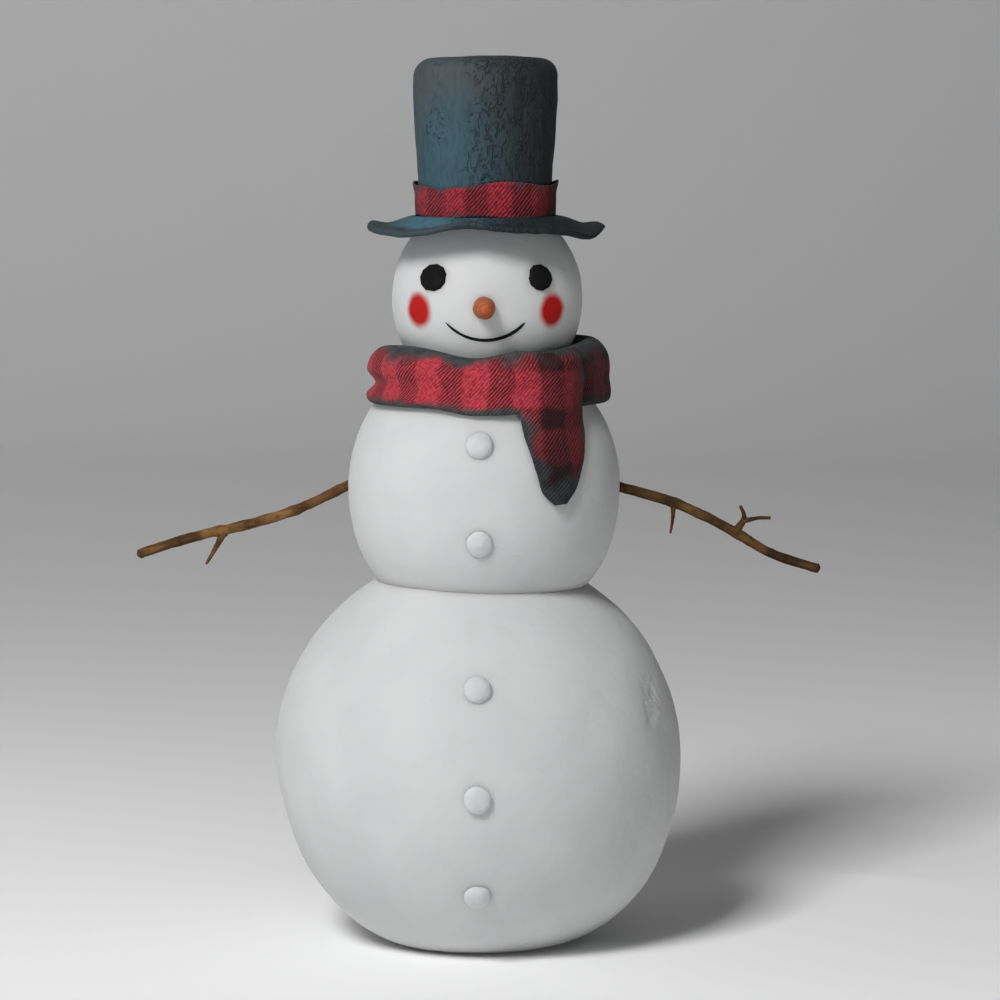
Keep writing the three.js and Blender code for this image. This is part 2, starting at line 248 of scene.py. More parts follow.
class Paint:
    """A material and its nodes."""

    def __init__(self, name, roughness, **constants):
        self.material = bpy.data.materials.new(name)
        self.material.use_nodes = True
        self.tree = self.material.node_tree
        self.shader = self.tree.nodes["Principled BSDF"]
        self.shader.inputs["Roughness"].default_value = roughness
        for socket, value in constants.items():
            self.shader.inputs[socket.replace("_", " ")].default_value = value
        self.place = self.add("ShaderNodeTexCoord").outputs["Object"]

    def add(self, kind, inputs=(), **settings):
        made = self.tree.nodes.new(kind)
        for key, value in settings.items():
            setattr(made, key, value)
        for key, value in dict(inputs).items():
            if isinstance(value, bpy.types.NodeSocket):
                self.tree.links.new(value, made.inputs[key])
            else:
                made.inputs[key].default_value = value
        return made

    def maths(self, operation, a, b=0.0, c=0.0):
        return self.add("ShaderNodeMath", {0: a, 1: b, 2: c}, operation=operation).outputs[0]

    def times(self, a, b):
        return self.maths("MULTIPLY", a, b)

    def scaled(self, value, factor, plus):
        return self.maths("MULTIPLY_ADD", value, factor, plus)

    def vector(self, operation, a, b=(0, 0, 0)):
        made = self.add("ShaderNodeVectorMath", {0: a, 1: b}, operation=operation)
        return made.outputs["Value" if operation == "LENGTH" else "Vector"]

    def step(self, value, low, high):
        inputs = {"Value": value, "From Min": low, "From Max": high}
        return self.add("ShaderNodeMapRange", inputs, interpolation_type="SMOOTHSTEP").outputs[0]

    def fall(self, value, low, high):
        """One below low, and nothing above high."""
        return self.maths("SUBTRACT", 1.0, self.step(value, low, high))

    def axes(self, vector):
        return self.add("ShaderNodeSeparateXYZ", {0: vector}).outputs

    def coordinates(self, name):
        return self.add("ShaderNodeUVMap", uv_map=name).outputs[0]

    def noise(self, scale, detail=3.0, place=None, rough=0.5, distortion=0.0):
        inputs = {"Vector": place or self.place, "Scale": scale, "Detail": detail}
        inputs |= {"Roughness": rough, "Distortion": distortion}
        return self.add("ShaderNodeTexNoise", inputs).outputs[0]

    def cells(self, scale):
        """The distance to the edge of the nearest cell."""
        inputs = {"Vector": self.place, "Scale": scale}
        return self.add("ShaderNodeTexVoronoi", inputs, feature="DISTANCE_TO_EDGE").outputs[0]

    def mix(self, share, a, b):
        made = self.add("ShaderNodeMix", {0: share}, data_type="RGBA")
        for index, value in ((6, a), (7, b)):
            if isinstance(value, bpy.types.NodeSocket):
                self.tree.links.new(value, made.inputs[index])
            else:
                made.inputs[index].default_value = (*value, 1)
        return made.outputs[2]

    def finish(self, color, height, depth, roughness=None):
        self.tree.links.new(color, self.shader.inputs["Base Color"])
        bump = self.add("ShaderNodeBump", {"Height": height, "Distance": depth, "Strength": 1.0})
        self.tree.links.new(bump.outputs[0], self.shader.inputs["Normal"])
        if roughness is not None:
            self.tree.links.new(roughness, self.shader.inputs["Roughness"])
        return self.material


CHEEK_RED = (0.37, 0.005, 0.004)
# How far light spreads inside the snow.
BALL_GLOW, BUTTON_GLOW = 50 * MM, 12 * MM
# The scuffed place is whole as far as the first radius, and fades out by the second.
SCUFF_CORE, SCUFF_REACH = 35 * MM, 62 * MM
SNOW_BUMP = 0.7 * MM


def snow_paint(name, light, shade, cheeks=(), glow=BALL_GLOW, scuff=None):
    """Packed snow. Cheeks are (centre, size) of red patches, and scuff is the middle of a pitted place."""
    paint = Paint(name, 0.8, Subsurface_Weight=0.7, Subsurface_Scale=glow, Specular_IOR_Level=0.2)
    paint.shader.inputs["Subsurface Radius"].default_value = (0.9, 1.0, 1.0)
    patches = paint.step(paint.noise(9, 4), 0.35, 0.7)
    color = paint.mix(patches, light, shade)
    for centre, size in cheeks:
        offset = paint.vector("SUBTRACT", paint.place, tuple(centre))
        scaled = paint.vector("DIVIDE", offset, size)
        ragged = paint.scaled(paint.noise(60, 3), 0.22, -0.11)
        reach = paint.maths("ADD", paint.vector("LENGTH", scaled), ragged)
        color = paint.mix(paint.fall(reach, 0.62, 1.12), color, CHEEK_RED)
    grain = paint.scaled(paint.noise(420, 4, rough=0.6), 0.35, paint.noise(70, 5))
    if scuff is not None:
        reach = paint.vector("LENGTH", paint.vector("SUBTRACT", paint.place, tuple(scuff)))
        ragged = paint.scaled(paint.noise(45, 4), 50 * MM, reach)
        inside = paint.fall(ragged, SCUFF_CORE, SCUFF_REACH)
        holes = paint.maths("SUBTRACT", paint.step(paint.noise(115, 3), 0.5, 0.62), 1.0)
        grain = paint.scaled(paint.times(holes, inside), 1.8, grain)
    rough = paint.scaled(paint.noise(150, 2), 0.25, 0.62)
    return paint.finish(color, grain, SNOW_BUMP, rough)


COAL_DARK, COAL_LIGHT = (0.004, 0.004, 0.004), (0.008, 0.008, 0.008)
CARROT_LIGHT, CARROT_DARK = (0.41, 0.10, 0.022), (0.29, 0.055, 0.014)


def coal_paint():
    paint = Paint("coal", 0.9, Specular_IOR_Level=0.15)
    glint = paint.step(paint.noise(90, 4), 0.5, 0.75)
    color = paint.mix(glint, COAL_DARK, COAL_LIGHT)
    height = paint.maths("ADD", paint.cells(110), paint.noise(300, 4))
    return paint.finish(color, height, 0.8 * MM)


def carrot_paint():
    paint = Paint("carrot", 0.55, Specular_IOR_Level=0.3)
    stretched = paint.vector("MULTIPLY", paint.place, (1, 6, 1))
    streaks = paint.step(paint.noise(60, 4, stretched), 0.35, 0.7)
    color = paint.mix(streaks, CARROT_LIGHT, CARROT_DARK)
    return paint.finish(color, paint.noise(140, 4, stretched), 0.8 * MM)


BARK_DARK, BARK_LIGHT = (0.036, 0.018, 0.007), (0.115, 0.056, 0.019)
BARK_BARE, BARK_CRACK = (0.15, 0.078, 0.027), (0.02, 0.011, 0.005)


def bark_paint(name, painted_lightness):
    """Bark with every colour scaled by one share: paler above one as painted light, darker below one as
    painted shade.
    """
    paint = Paint(name, 0.9, Specular_IOR_Level=0.15)
    along = paint.coordinates("bark")
    stretched = paint.vector("MULTIPLY", along, (0.25, 4, 1))
    ridges = paint.noise(120, 6, stretched, 0.65, 0.6)
    drawn_out = paint.vector("MULTIPLY", along, (0.3, 2.2, 1))
    color = paint.mix(paint.step(ridges, 0.35, 0.65), toned(BARK_DARK, painted_lightness), toned(BARK_LIGHT, painted_lightness))
    bare = paint.step(paint.noise(90, 4, drawn_out), 0.5, 0.66)
    color = paint.mix(bare, color, toned(BARK_BARE, painted_lightness))
    crack = paint.step(paint.noise(130, 3, drawn_out), 0.58, 0.7)
    color = paint.mix(crack, color, toned(BARK_CRACK, painted_lightness))
    return paint.finish(color, ridges, 1.4 * MM)


SCARF_RED, BAND_RED = (0.5, 0.047, 0.068), (0.33, 0.03, 0.045)
DARK = (0.034, 0.009, 0.009)
CHARCOAL = (0.056, 0.06, 0.064)
# Painted shade: the cloth is darker towards the right and towards the tip of the hanging end.
SHADED_PLAID, SHADED_GREY = (0.008, 0.006, 0.007), (0.01, 0.011, 0.012)
# How far the bands and the borders of the cloth stray.
WANDER, UNEVEN = 14 * MM, 34 * MM
BORDER_FADE = 9 * MM
CHECK = 66 * MM


def plaid_paint(name, bright_red, width, length, check, thread, borders, dark_share):
    """Woven check: warp and weft are red or dark by bands, and a diagonal twill shows one or the other.

    The borders are the grey widths along the lower edge, the upper edge and the far end.
    """
    paint = Paint(name, 0.95, Specular_IOR_Level=0.1, Sheen_Weight=0.05, Sheen_Roughness=0.5)
    across, along = paint.axes(paint.coordinates("weave"))[:2]
    wander = paint.scaled(paint.noise(45, 4), WANDER, -WANDER / 2)

    def band(value, shift, level):
        moved = paint.maths("ADD", paint.maths("ADD", value, wander), shift)
        wave = paint.maths("COSINE", paint.times(moved, 2 * math.pi / check))
        return paint.step(wave, level - 0.3, level + 0.3)

    warp = band(along, 0.0, 0.0)
    weft = band(across, -0.4 * width, math.cos(math.pi * (1 - dark_share)))
    # The weft's dark bands show only towards the right.
    east = paint.axes(paint.place)[0]
    weft = paint.maths("MAXIMUM", weft, paint.fall(east, 10 * MM, 80 * MM))
    diagonal = paint.times(paint.maths("SUBTRACT", along, across), 2 * math.pi / thread)
    diagonal = paint.scaled(paint.noise(130, 3), 5.0, diagonal)
    twill_wave = paint.maths("SINE", diagonal)
    twill = paint.step(twill_wave, -1.1, 1.0)
    fuzz = paint.noise(500, 4)
    mottle = paint.noise(260, 3)
    red = paint.mix(paint.step(mottle, 0.35, 0.7), bright_red, toned(bright_red, 0.5))
    dark = paint.mix(paint.step(paint.noise(60, 3), 0.4, 0.7), DARK, toned(DARK, 1.8))
    shown = paint.mix(twill, paint.mix(warp, dark, red), paint.mix(weft, dark, red))
    ribbed = paint.times(paint.step(twill_wave, 0.0, 1.0), 0.22)
    shown = paint.mix(ribbed, shown, toned(bright_red, 0.35))
    uneven = paint.scaled(paint.noise(26, 5), UNEVEN, -UNEVEN / 2)
    across, along = paint.axes(paint.coordinates("edges"))[:2]
    low_border, high_border, end_border = borders
    patchy = paint.times(uneven, 1.9)
    low = paint.maths("SUBTRACT", paint.maths("ADD", across, uneven), low_border)
    high = paint.maths("SUBTRACT", paint.maths("SUBTRACT", width - high_border, across), patchy)
    end = paint.maths("SUBTRACT", paint.maths("SUBTRACT", length - end_border, along), uneven)
    edge = paint.maths("MINIMUM", paint.maths("MINIMUM", low, high), end)
    lit_bark_and_grey_border = paint.fall(edge, -BORDER_FADE, BORDER_FADE)
    grey = paint.mix(paint.step(paint.noise(80, 4), 0.4, 0.7), CHARCOAL, toned(CHARCOAL, 0.55))
    # Painted shade: the check and the grey are darkened towards the right and at the tip of the hanging
    # end.
    shade_right = paint.step(east, 30 * MM, 150 * MM)
    painted_shade = paint.maths("MAXIMUM", shade_right, paint.step(along, length - 0.2, length - 0.06))
    shown = paint.mix(paint.times(painted_shade, 0.8), shown, SHADED_PLAID)
    grey = paint.mix(paint.times(painted_shade, 0.6), grey, SHADED_GREY)
    color = paint.mix(lit_bark_and_grey_border, shown, grey)
    height = paint.scaled(twill_wave, 0.5, paint.times(fuzz, 0.8))
    return paint.finish(color, height, 0.9 * MM)


def hat_paint(name, blue, grey, blue_centre, blue_size, rim=None):
    """Weathered felt: bluer round one place and wrinkled towards the right, with a few cracks; painted
    shade darkens it towards the right and in the creases of its wrinkles.

    The rim is the radius about Z by which the felt is worn grey.
    """
    paint = Paint(name, 0.8, Specular_IOR_Level=0.2)
    offset = paint.vector("SUBTRACT", paint.place, tuple(blue_centre))
    reach = paint.vector("LENGTH", paint.vector("DIVIDE", offset, blue_size))
    ragged = paint.scaled(paint.noise(22, 5), 0.8, reach)
    color = paint.mix(paint.step(ragged, 0.9, 1.9), blue, grey)
    dark = toned(grey, 0.3)
    if rim:
        level = paint.vector("LENGTH", paint.vector("MULTIPLY", paint.place, (1, 1, 0)))
        ragged = paint.scaled(paint.noise(30, 4), 30 * MM, level)
        color = paint.mix(paint.step(ragged, rim - 12 * MM, rim + 6 * MM), color, grey)

    east = paint.axes(offset)[0]
    # Painted shade: the felt is darkened towards the right.
    shaded = paint.times(paint.step(east, -15 * MM, 108 * MM), 0.88)
    color = paint.mix(shaded, color, toned(grey, 0.25))
    ragged = paint.scaled(paint.noise(18, 4), 90 * MM, east)
    rightward = paint.step(ragged, 45 * MM, 95 * MM)
    upright = paint.vector("MULTIPLY", paint.place, (1, 1, 0.36))
    streaks = paint.noise(130, 7, upright, 0.7, 0.5)
    ridge = paint.maths("SUBTRACT", paint.noise(120, 3, upright, 0.5, 0.5), 0.5)
    ridge = paint.maths("ABSOLUTE", ridge)
    broken = paint.times(paint.step(paint.noise(55, 3), 0.36, 0.52), rightward)
    wrinkles = paint.times(paint.fall(ridge, 0.0, 0.07), broken)
    shifted = paint.vector("ADD", paint.place, (0.31, 0.17, 0.05))
    wandering = paint.maths("SUBTRACT", paint.noise(48, 6, shifted, 0.75, 0.8), 0.5)
    wandering = paint.maths("ABSOLUTE", wandering)
    sparse = paint.step(paint.noise(26, 3, shifted), 0.56, 0.66)
    cracks = paint.fall(wandering, 0.0, 0.022)
    short = paint.step(paint.noise(150, 2), 0.44, 0.56)
    cracks = paint.times(cracks, paint.times(sparse, short))
    wrinkles = paint.times(wrinkles, paint.step(paint.noise(170, 2), 0.38, 0.52))

    color = paint.mix(paint.times(paint.step(streaks, 0.42, 0.72), 0.4), color, dark)
    # Painted shade: the creases of the wrinkles are painted darker.
    color = paint.mix(paint.times(wrinkles, 0.5), color, dark)
    color = paint.mix(paint.times(cracks, 0.45), color, dark)
    nap = paint.noise(420, 4)
    height = paint.scaled(streaks, 0.7, paint.times(nap, 0.25))
    height = paint.maths("SUBTRACT", height, paint.scaled(wrinkles, 1.3, cracks))
    rough = paint.scaled(streaks, 0.3, 0.6)
    return paint.finish(color, height, 1.4 * MM, rough)


# Snow ----------

BASE, MIDDLE, HEAD = Ball("snow_base"), Ball("snow_middle"), Ball("snow_head")
SNOW_LIGHT, SNOW_SHADE = (0.545, 0.548, 0.552), (0.515, 0.522, 0.526)
BUTTON_LIGHT, BUTTON_SHADE = (0.525, 0.543, 0.546), (0.49, 0.508, 0.51)
SNOWBALL_FINENESS = 7
LUMP_FINENESS = 5
LUMP_SIZE, PAT_SIZE, GRAIN_SIZE = 160 * MM, 35 * MM, 9 * MM
PAT_RISE, GRAIN_RISE = 0.45 * MM, 0.16 * MM
# The bottom ball meets the ground in a bend of about this radius.
GROUND_BEND = 5 * MM
CHEEK_APART, CHEEK_DROP, CHEEK_SHIFT = 89.5 * MM, 11 * MM, 2 * MM
CHEEK_SIZE = (24 * MM, 24 * MM, 26 * MM)


def packed(points, seed, lumps):
    """Hand-packed unevenness, as a distance outward."""
    coarse = noise(points, LUMP_SIZE, seed, 2) * lumps
    patted = noise(points, PAT_SIZE, seed + 1, 2) * PAT_RISE
    grains = noise(points, GRAIN_SIZE, seed + 2, 2) * GRAIN_RISE
    return coarse + patted + grains


def snowball(ball, seed, lumps, fuller=None, marks=None):
    """Points and faces of a ball of packed snow. Fuller is the power that rounds out its lower half."""
    way, faces = unit_ball(SNOWBALL_FINENESS)
    stretch = np.array([ball.radius, ball.radius, ball.half])
    if fuller:
        low = way[:, 2] < 0
        around = np.hypot(way[:, 0], way[:, 1])
        wider = np.sqrt(np.maximum(0, 1 - np.abs(way[:, 2]) ** fuller)) / np.maximum(around, 1e-6)
        wider = np.where(low, np.minimum(wider, 1.4), 1.0)
        way = way * np.stack([wider, wider, np.ones_like(wider)], 1)
    points = ball.centre + way * stretch
    out = way / np.linalg.norm(way, axis=1)[:, None]
    rise = packed(points, seed, lumps)
    if marks:
        rise = rise + marks(points)
    return points + out * rise[:, None], faces


# The way from the bottom ball's middle to its scuffed place.
SCUFF = np.array([0.84, -0.41, 0.36])
SCUFF_SPREAD = (0.03, 0.07, 0.09)
# The other marks on it: the way there, how far the snow rises, and the spread in radians.
BASE_MARKS = [
    ((-0.94, -0.1, -0.3), -5 * MM, 0.22),
    ((0.75, -0.2, -0.68), 9 * MM, 0.35),
    ((0.93, -0.32, 0.12), -4 * MM, 0.2),
]


def base_marks(points):
    """A flat pat on the left flank, a fuller right foot, a dent above it and pits on the right shoulder."""
    p = points - BASE.centre
    way = p / np.linalg.norm(p, axis=1)[:, None]

    def near(direction, spread):
        apart = np.arccos(np.clip(way @ (direction / np.linalg.norm(direction)), -1, 1))
        return bell(apart, 0, spread)

    rise = np.zeros(len(points))
    for direction, height, spread in BASE_MARKS:
        rise += height * near(direction, spread)
    rng = np.random.default_rng(5)
    for _ in range(16):
        pit = SCUFF + rng.normal(scale=SCUFF_SPREAD, size=3)
        rise -= rng.uniform(1.0, 2.2) * MM * near(pit, rng.uniform(0.018, 0.03))
    return rise


def make_snowballs():
    scuff = BASE.centre + SCUFF * (BASE.radius, BASE.radius, BASE.half)
    snow = snow_paint("snow", SNOW_LIGHT, SNOW_SHADE, scuff=scuff)
    points, faces = snowball(BASE, 11, 2.2 * MM, marks=base_marks)
    points[:, 2] = GROUND_BEND * np.logaddexp(0, points[:, 2] / GROUND_BEND)
    piece("snowball_base", points, faces, snow, ["snow_base"])
    points, faces = snowball(MIDDLE, 23, 1.8 * MM, fuller=2.3)
    piece("snowball_middle", points, faces, snow, ["snow_middle"])
    cheek_x, cheek_z = HEAD.centre[0] - CHEEK_SHIFT, HEAD.centre[2] - CHEEK_DROP
    cheeks = [(HEAD.front(cheek_x + side * CHEEK_APART, cheek_z), CHEEK_SIZE) for side in (-1, 1)]
    face = snow_paint("snow_face", SNOW_LIGHT, SNOW_SHADE, cheeks)
    points, faces = snowball(HEAD, 37, 1.2 * MM)
    piece("snowball_head", points, faces, face, ["snow_head"])


def lump(node, ball, material, name, seed, rough, sides=None, stretch=(1, 1)):
    """A lump over a CAD button or eye: a squashed ball set in its seat, or one with chipped sides."""
    corners = corners_of(node)
    middle = (corners.min(0) + corners.max(0)) / 2
    out = ball.outward(middle)
    side = np.cross([0, 0, 1.0], out)
    side /= np.linalg.norm(side)
    up = np.cross(out, side)
    local = (corners - middle) @ np.stack([side, up, out], 1)
    radius = float(np.ptp(local[:, 0])) / 2
    high, low = local[:, 2].max(), local[:, 2].min()
    way, faces = unit_ball(LUMP_FINENESS)
    if sides:
        angle = np.arctan2(way[:, 1], way[:, 0])
        turn = 2 * math.pi / sides
        chipped = np.random.default_rng(seed).uniform(0.95, 1.0, sides + 1)
        nearest = np.round(angle / turn)
        flat = chipped[nearest.astype(int) % sides] / np.cos(angle - nearest * turn)
        rim = smooth(0.0, 0.8, np.hypot(way[:, 0], way[:, 1]))
        way[:, :2] *= (1 + (flat - 1) * rim)[:, None]
        way[:, 2] = np.sign(way[:, 2]) * np.abs(way[:, 2]) ** 0.6
    depth = np.where(way[:, 2] > 0, high, -low)
    wide, tall = radius * stretch[0], radius * stretch[1]
    shape = np.stack([way[:, 0] * wide, way[:, 1] * tall, way[:, 2] * depth], 1)
    points = middle + shape @ np.stack([side, up, out])
    ways = way / np.linalg.norm(way, axis=1)[:, None]
    points += (ways @ np.stack([side, up, out])) * (noise(points, radius, seed, 3) * rough)[:, None]
    piece(name, points, faces, material, [node])


def make_face():
    button_snow = snow_paint("button_snow", BUTTON_LIGHT, BUTTON_SHADE, glow=BUTTON_GLOW)
    for number in range(1, 6):
        node = f"button_{number}"
        ball = MIDDLE if number < 3 else BASE
        lump(node, ball, button_snow, f"snow_button_{number}", 50 + number, 0.9 * MM)
    coal = coal_paint()
    for side, seed, stretch in (("left", 61, (1.08, 0.99)), ("right", 64, (0.95, 0.97))):
        node = f"coal_eye_{side}"
        lump(node, HEAD, coal, f"coal_lump_{side}", seed, 0.5 * MM, 11, stretch)
    make_nose()
    make_mouth(coal)


# Shares of the nose's length: where its root stops widening, and where its blunt tip starts.
NOSE_ROOT_END, NOSE_TIP_START = 0.02, 0.88
NOSE_LEAN = 3.5 * MM


def make_nose():
    low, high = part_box("carrot_nose")
    radius = (high.z - low.z) / 2
    middle = np.array([(low.x + high.x) / 2, 0, (low.z + high.z) / 2])
    rows, sides = 110, 48
    t = 1 - (1 - np.linspace(0, 1, rows)) ** 2
    y = high.y + (low.y - high.y) * t
    taper = radius * (1 - 0.42 * smooth(0.45, 1.0, t))
    tip = np.sqrt(np.clip(1 - ((t - NOSE_TIP_START) / (1 - NOSE_TIP_START)) ** 2, 0, 1))
    root = 0.6 + 0.4 * t / NOSE_ROOT_END
    taper = taper * np.where(t > NOSE_TIP_START, tip, 1) * np.where(t < NOSE_ROOT_END, root, 1)
    rings = 1 - 0.02 * np.maximum(0, np.sin(t * 31 + 1.3 * np.sin(t * 17))) ** 6
    angles = round_angles(sides)
    r = np.maximum((taper * rings)[:, None], 0.05 * MM) * np.ones(sides)
    points = np.stack([r * np.cos(angles), y[:, None] * np.ones(sides), r * np.sin(angles)], -1)
    points = points.reshape(-1, 3)
    sideways = points * [1, 0, 1]
    points += sideways * noise(points, 0.012, 71, 2)[:, None] * 0.06
    points[:, 0] += NOSE_LEAN * np.repeat(smooth(0.3, 1.0, t), sides)
    faces = tube_faces(rows, sides, turned_over=True)
    piece("carrot", points + middle, faces, carrot_paint(), ["carrot_nose"])


MOUTH_THICKNESS = 2.8 * MM
MOUTH_PROUD = 0.2 * MM


def make_mouth(coal):
    corners = corners_of("mouth")
    low, high = corners.min(0), corners.max(0)
    half, rise = (high[0] - low[0]) / 2, high[2] - low[2]
    centre_x = (low[0] + high[0]) / 2
    rise -= MOUTH_THICKNESS
    arc = (half**2 + rise**2) / (2 * rise)
    steps, sides = 120, 14
    t = np.linspace(-1, 1, steps)
    angle = t * math.asin(min(0.99, half / arc))
    x = centre_x + arc * np.sin(angle)
    z = low[2] + MOUTH_THICKNESS + arc * (1 - np.cos(angle))
    line = np.array([HEAD.front(a, b) for a, b in zip(x, z)])
    out = np.array([HEAD.outward(p) for p in line])
    heavier_right = 0.85 + 0.15 * t
    radii = MOUTH_THICKNESS * heavier_right * np.maximum(0.04, (1 - np.abs(t) ** 6)) ** 0.5
    points = swept(line + out * MOUTH_PROUD, radii, sides, out, 0.75).reshape(-1, 3)
    points += out.repeat(sides, 0) * noise(points, 0.006, 83, 2)[:, None] * 0.25 * MM
    piece("mouth_strip", points, tube_faces(steps, sides), coal, ["mouth"])


# Sticks ----------

# How deep a twig's root lies in its stick.
ROOT_DEPTH = 4 * MM
STICK_SIDES = 28
# Shares of a stick's length: how wide a knot is, and how much of its far end is worn round.
KNOT_WIDTH, WORN_SHARE = 0.018, 0.025


def stick(name, node, count, start, end, seed, material, knots=(), grows_from=None):
    """A stick along its CAD node, or a twig that grows from another stick's node and flares at its root.

    Start and end are its radii, and each knot is (share of the length, how much thicker).
    """
    points = centreline(node, count)
    if grows_from:
        parent = corners_of(grows_from)
        reach = [np.linalg.norm(parent - tip, axis=1).min() for tip in (points[0], points[-1])]
        points = points if reach[0] < reach[1] else points[::-1]
        inward = points[0] - points[-1]
        points[0] += ROOT_DEPTH * inward / np.linalg.norm(inward)
    line = curve_through(points, np.linspace(0, 1, 90 if grows_from else 160))
    length = float(np.linalg.norm(np.diff(line, axis=0), axis=1).sum())
    steps, sides = len(line), STICK_SIDES
    t = np.linspace(0, 1, steps)
    sway_y = noise(line, 0.06, seed, 2) * 1.2 * MM
    sway_z = noise(line, 0.05, seed + 1, 2) * 0.8 * MM
    line = line + np.stack([0 * t, sway_y, sway_z], 1)
    radii = (start + (end - start) * t) * (1 + 0.08 * noise(line, 0.03, seed + 2, 2))
    for place, size in knots:
        radii = radii * (1 + size * bell(t, place, KNOT_WIDTH))
    if grows_from:
        radii = radii + 1.2 * start * np.exp(-t * length / (1.6 * start))
        radii = radii * np.sqrt(np.clip(t * length / ROOT_DEPTH, 0.15, 1))
    radii = radii * np.sqrt(np.clip((1 - t) / WORN_SHARE, 0.08, 1))
    points = swept(line, radii, sides)
    middle = line[:, None]
    flat = points.reshape(-1, 3)
    bark = 0.07 * noise(flat * [0.35, 1, 1], 0.005, seed + 3, 3) + 0.04 * noise(flat, 0.012, seed + 4, 2)
    even = np.minimum(1, start / radii)[:, None, None]
    points = middle + (points - middle) * (1 + bark.reshape(steps, sides, 1) * even)
    obj = piece(name, points.reshape(-1, 3), tube_faces(steps, sides), material, [node])
    # Bark coordinates, in metres: along the stick, and out and back across it.
    uv = obj.data.uv_layers.new(name="bark")
    for loop in obj.data.loops:
        row, column = divmod(loop.vertex_index, sides)
        uv.data[loop.index].uv = (t[row] * length, 2 * start * math.sin(math.pi * column / sides))


def make_arms():
    # Painted light and shade: the left stick and its twig have bark painted lighter, as if lit; the right
    # ones have bark painted darker, as shade.
    lit_bark_and_grey_border, shaded_bark = bark_paint("bark_painted_lit", 1.3), bark_paint("bark_painted_shade", 0.72)
    left, right = "arm_left_main", "arm_right_main"
    left_knots = [(0.42, 0.12), (0.66, 0.16), (0.97, 0.08)]
    right_knots = [(0.42, 0.14), (0.64, 0.18)]
    stick("stick_left", left, 6, 7.3 * MM, 6.6 * MM, 101, lit_bark_and_grey_border, left_knots)
    stick("stick_right", right, 7, 7.3 * MM, 6.3 * MM, 111, shaded_bark, right_knots)
    stick("twig_left", "arm_left_twig", 4, 4.6 * MM, 1.4 * MM, 121, lit_bark_and_grey_border, grows_from=left)
    stick("twig_right_lower", "arm_right_lower_twig", 4, 3.4 * MM, 1.2 * MM, 131, shaded_bark, grows_from=right)
    upper = "arm_right_upper_twig"
    stick("twig_right_upper", upper, 4, 4.6 * MM, 1.3 * MM, 141, shaded_bark, grows_from=right)
    stick("prong_right_upper", "arm_right_upper_prong", 4, 3.5 * MM, 2.0 * MM, 151, shaded_bark, grows_from=upper)


# Scarf ----------

SCARF_WIDTH = 0.14
# The angles of its covered end, and of the place where it turns down.
SCARF_START = math.radians(20)
SCARF_TURN_ANGLE = math.radians(16)
# The length of the turn and the hanging end.
SCARF_TURN_LENGTH = 0.23
SCARF_BORDERS = (31 * MM, 50 * MM, 40 * MM)
CLOTH_THICKNESS = 3 * MM
TAIL_ON_BALL, TAIL_ON_RING = 8 * MM, 7 * MM


def smooth_max(a, b, softness):
    return softness * np.logaddexp(a / softness, b / softness)


class Wrap:
    """The rolled ring that the scarf makes round the neck."""

    def __init__(self):
        low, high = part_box("scarf_wrap")
        self.x = (high.x + low.x) / 2
        self.radius = (high.x - low.x) / 2
        self.low, self.high = low.z, high.z

    def bulge(self, facing):
        fuller_right = 4 * MM * bell(facing, math.pi / 2, 0.8)
        return self.radius + fuller_right - 2 * MM * bell(facing, -math.pi / 2, 0.8)

    def section(self, facing, v):
        """Radius and height of the cloth across its width, from its lower edge to the hidden upper one."""
        dip = 16 * MM * bell(facing, -0.1, 0.42)
        lower_back = 15 * MM * bell(facing, -2.1, 0.6)
        top = self.high - 2 * MM + 3 * MM * np.sin(facing) - dip - lower_back
        bottom = self.low - 2 * MM + 8 * MM * smooth(0.1, 0.5, np.abs(facing))
        tall, r = top - bottom, self.bulge(facing)
        crease = 3 * MM + 11 * MM * bell(facing, -math.pi / 2, 0.75)
        points = [
            (r - 12 * MM, bottom + 2 * MM),
            (r - 2 * MM, bottom + 3 * MM),
            (r, bottom + 0.15 * tall),
            (r - crease, bottom + 0.38 * tall),
            (r - 1 * MM, bottom + 0.62 * tall),
            (r - 8 * MM, bottom + 0.86 * tall),
            (r - 23 * MM, top),
            (r - 37 * MM, top - 4 * MM),
            (r - 43 * MM, top - 26 * MM),
        ]
        grid = curve_through(np.array([np.stack(p, -1) for p in points]), v)
        return grid[..., 0].T, grid[..., 1].T


def tail_edges(wrap):
    """The two edges of the cloth, as (x, z), where it turns down from the ring and hangs."""
    tail_low, tail_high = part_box("scarf_tail")
    left, right = tail_low.x, tail_high.x
    tip, ring = tail_low.z, wrap.low
    edge_left = [
        (wrap.x + 44 * MM, ring - 1 * MM),
        (left, ring - 2 * MM),
        (left + 2 * MM, ring - 10 * MM),
        (left + 6 * MM, ring - 29 * MM),
        (left + 15 * MM, ring - 54 * MM),
        (left + 23 * MM, ring - 78 * MM),
        (left + 30 * MM, tip + 18 * MM),
        (left + 45 * MM, tip + 1 * MM),
    ]
    edge_right = [
        (wrap.x + 24 * MM, wrap.high - 12 * MM),
        (wrap.x + 78 * MM, wrap.high - 3 * MM),
        (right - 8 * MM, wrap.high - 7 * MM),
        (right + 3 * MM, wrap.high - 38 * MM),
        (right + 1 * MM, ring + 6 * MM),
        (right + 4 * MM, ring - 42 * MM),
        (right - 4 * MM, tip + 30 * MM),
        (right - 21 * MM, tip + 2 * MM),
    ]
    return np.array(edge_left), np.array(edge_right)


# Across the hanging end, from its left edge to the edge folded behind it: the share of the width
# and how proud it stands.
TAIL_SECTION = [
    (0.10, -4.0 * MM),
    (0.0, -1.5 * MM),
    (0.20, 1.4 * MM),
    (0.48, 2.2 * MM),
    (0.78, 2.0 * MM),
    (1.0, -0.5 * MM),
    (0.88, -4.3 * MM),
    (0.70, -4.8 * MM),
    (0.52, -4.8 * MM),
]


